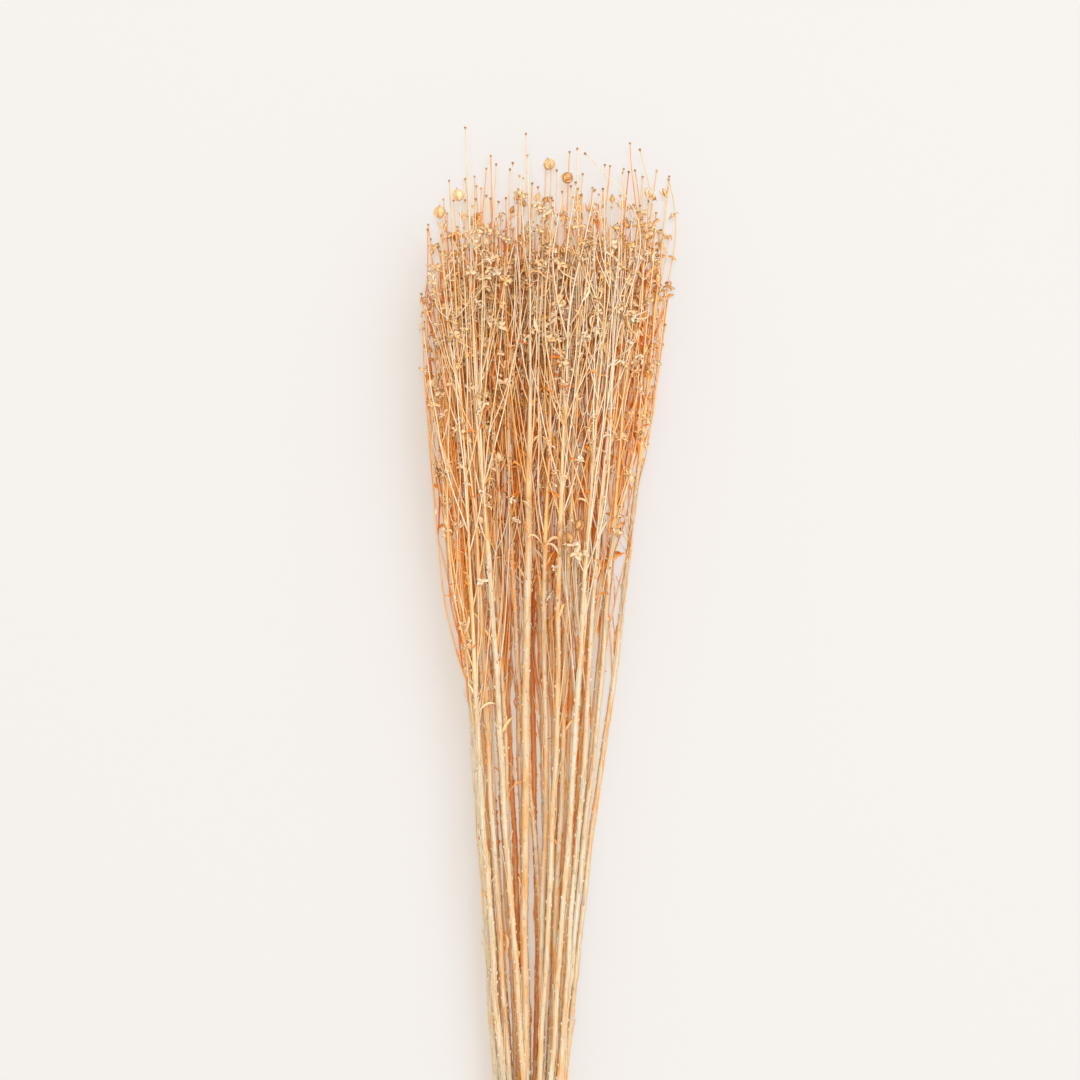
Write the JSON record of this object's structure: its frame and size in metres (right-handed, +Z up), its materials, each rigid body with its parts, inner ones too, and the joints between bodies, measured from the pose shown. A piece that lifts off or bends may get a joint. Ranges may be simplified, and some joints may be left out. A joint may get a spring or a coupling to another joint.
{
  "type": "bunch of dried flax",
  "caption": "Bunch of bleached, dried flax lying flat, its straight straw stems tied near the cut ends and branching into loose heads of fine stalks with small knobs and capsules.",
  "frame": {"origin": "on the table, under the middle of the bunch's box", "axes": "+Y along the bunch from the cut ends to the tips, +X across the bunch, +Z up from the table"},
  "size_m": [0.1301, 0.59, 0.0486],
  "materials": {
    "bleached_straw": "bleached dry plant straw, satin, pale cream with small leaf scars",
    "dried_stalks": "dry plant stalks and papery cups, matt, cream outside and amber inside the bunch",
    "tie_rubber": "plain tan elastic band, matt"
  },
  "bodies": {
    "root": {"stem_01": "bleached_straw", "seed_head_01": "dried_stalks", "stem_02": "bleached_straw", "seed_head_02": "dried_stalks", "stem_03": "bleached_straw", "seed_head_03": "dried_stalks", "stem_04": "bleached_straw", "seed_head_04": "dried_stalks", "stem_05": "bleached_straw", "seed_head_05": "dried_stalks", "stem_06": "bleached_straw", "seed_head_06": "dried_stalks", "stem_07": "bleached_straw", "seed_head_07": "dried_stalks", "stem_08": "bleached_straw", "seed_head_08": "dried_stalks", "stem_09": "bleached_straw", "seed_head_09": "dried_stalks", "stem_10": "bleached_straw", "seed_head_10": "dried_stalks", "stem_11": "bleached_straw", "seed_head_11": "dried_stalks", "stem_12": "bleached_straw", "seed_head_12": "dried_stalks", "stem_13": "bleached_straw", "seed_head_13": "dried_stalks", "stem_14": "bleached_straw", "seed_head_14": "dried_stalks", "stem_15": "bleached_straw", "seed_head_15": "dried_stalks", "stem_16": "bleached_straw", "seed_head_16": "dried_stalks", "stem_17": "bleached_straw", "seed_head_17": "dried_stalks", "stem_18": "bleached_straw", "seed_head_18": "dried_stalks", "stem_19": "bleached_straw", "seed_head_19": "dried_stalks", "stem_20": "bleached_straw", "seed_head_20": "dried_stalks", "stem_21": "bleached_straw", "seed_head_21": "dried_stalks", "stem_22": "bleached_straw", "seed_head_22": "dried_stalks", "stem_23": "bleached_straw", "seed_head_23": "dried_stalks", "stem_24": "bleached_straw", "seed_head_24": "dried_stalks", "stem_25": "bleached_straw", "seed_head_25": "dried_stalks", "stem_26": "bleached_straw", "seed_head_26": "dried_stalks", "stem_27": "bleached_straw", "seed_head_27": "dried_stalks", "stem_28": "bleached_straw", "seed_head_28": "dried_stalks", "stem_29": "bleached_straw", "seed_head_29": "dried_stalks", "tie_band": "tie_rubber"}
  },
  "joints": []
}
